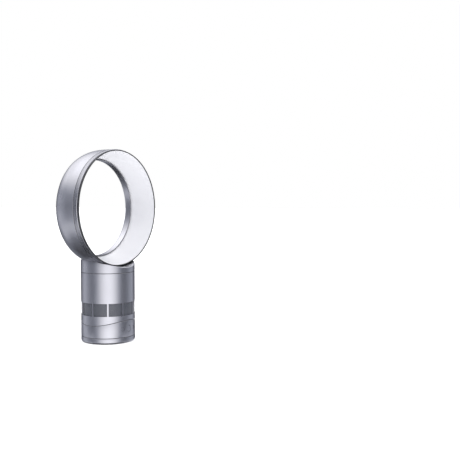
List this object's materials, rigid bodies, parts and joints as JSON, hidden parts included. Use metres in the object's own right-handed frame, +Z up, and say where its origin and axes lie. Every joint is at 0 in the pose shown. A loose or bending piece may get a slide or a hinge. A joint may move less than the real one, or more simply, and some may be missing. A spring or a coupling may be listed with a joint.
{
  "type": "bladeless fan",
  "caption": "Desk fan with a round base that draws air through a grille band and a large open ring that blows it out of a rear slot; it sweeps, tilts and has a dial and push buttons.",
  "frame": {"origin": "centre of the base's underside, on the surface it stands on", "axes": "+Z up; the air leaves the ring towards -Y; +X is on the right of someone facing the front"},
  "size_m": [0.3, 0.138, 0.4945],
  "materials": {
    "silver_shell": "satin silver lacquer on moulded plastic",
    "silver_trim": "satin silver lacquer, darker, on the ring's front band",
    "pale_inner": "pale satin silver, the surface the air follows",
    "grille_mesh": "dark grey painted perforated sheet",
    "black_plastic": "matt",
    "grey_plastic": "matt",
    "white_plastic": "matt",
    "rubber": "matt",
    "nylon": "waxy",
    "steel": "plain",
    "brass": "plain",
    "stator_iron": "laminated core with copper windings",
    "circuit_board": "green solder mask",
    "foam": "open-cell foam"
  },
  "bodies": {
    "foot": {"foot_ring": "silver_shell", "foot_plate": "black_plastic", "rubber_foot_ring": "rubber", "thrust_ring": "nylon", "retaining_washer": "steel", "fixed_sector_gear": "nylon", "gear_screw_1": "steel", "gear_screw_2": "steel", "gear_screw_3": "steel", "cord_gland": "rubber"},
    "lower_base": {"lower_casing": "silver_shell", "tilt_cradle": "grey_plastic", "cradle_screw_1": "steel", "cradle_screw_2": "steel", "cradle_screw_3": "steel", "cradle_screw_4": "steel", "pivot_bush": "nylon", "sweep_motor_bracket": "steel", "sweep_motor": "steel", "control_board": "circuit_board", "switch_board": "circuit_board", "control_bracket": "black_plastic", "dial_encoder": "grey_plastic", "power_switch": "black_plastic", "sweep_switch": "black_plastic"},
    "power_button": {"power_button": "silver_shell"},
    "sweep_button": {"sweep_button": "silver_shell"},
    "speed_dial": {"speed_dial": "silver_shell"},
    "sweep_pinion": {"sweep_pinion": "brass"},
    "head": {"motor_casing": "silver_shell", "inlet_mesh": "grille_mesh", "casing_underside": "grey_plastic", "tilt_runner_left": "nylon", "tilt_runner_right": "nylon", "driver_board": "circuit_board", "electronics_cover": "black_plastic", "foam_silencer": "foam", "inlet_bellmouth": "grey_plastic", "impeller_housing": "white_plastic", "isolation_ring": "rubber", "motor_bucket_lower": "white_plastic", "motor_bucket_upper": "white_plastic", "diffuser": "white_plastic", "motor_stator": "stator_iron", "bearing_lower": "steel", "bearing_upper": "steel", "ring_outer_shell": "silver_shell", "ring_inner_shell": "pale_inner", "ring_front_trim": "silver_trim", "neck_seal": "rubber", "neck_lock_collar": "grey_plastic"},
    "rotor": {"motor_shaft": "steel", "rotor_magnet": "steel", "impeller": "grey_plastic"}
  },
  "joints": [
    {"name": "sweep", "type": "hinge", "parent": "foot", "child": "lower_base", "pos_m": [0, 0, 0.016], "axis": [0, 0, 1], "range_deg": [-45, 45]},
    {"name": "sweep_pinion_turn", "type": "hinge", "parent": "lower_base", "child": "sweep_pinion", "pos_m": [0, 0.03225, 0.0244], "axis": [0, 0, 1], "range_deg": [-136, 136]},
    {"name": "tilt", "type": "hinge", "parent": "lower_base", "child": "head", "pos_m": [0, 0, 0.245], "axis": [1, 0, 0], "range_deg": [-10, 10]},
    {"name": "rotor_spin", "type": "hinge", "parent": "head", "child": "rotor", "pos_m": [0, 0, 0.14], "axis": [0, 0, 1], "continuous": true},
    {"name": "power_button_press", "type": "slide", "parent": "lower_base", "child": "power_button", "axis": [0, 1, 0], "range_m": [0, 0.0012], "stiffness_N_per_m": 600},
    {"name": "sweep_button_press", "type": "slide", "parent": "lower_base", "child": "sweep_button", "axis": [0, 1, 0], "range_m": [0, 0.0012], "stiffness_N_per_m": 600},
    {"name": "speed_dial_turn", "type": "hinge", "parent": "lower_base", "child": "speed_dial", "pos_m": [0, -0.0685, 0.037], "axis": [0, 1, 0], "range_deg": [0, 270]}
  ],
  "couplings": [
    {"joint": "sweep_pinion_turn", "follows": "sweep", "ratio": 3}
  ]
}
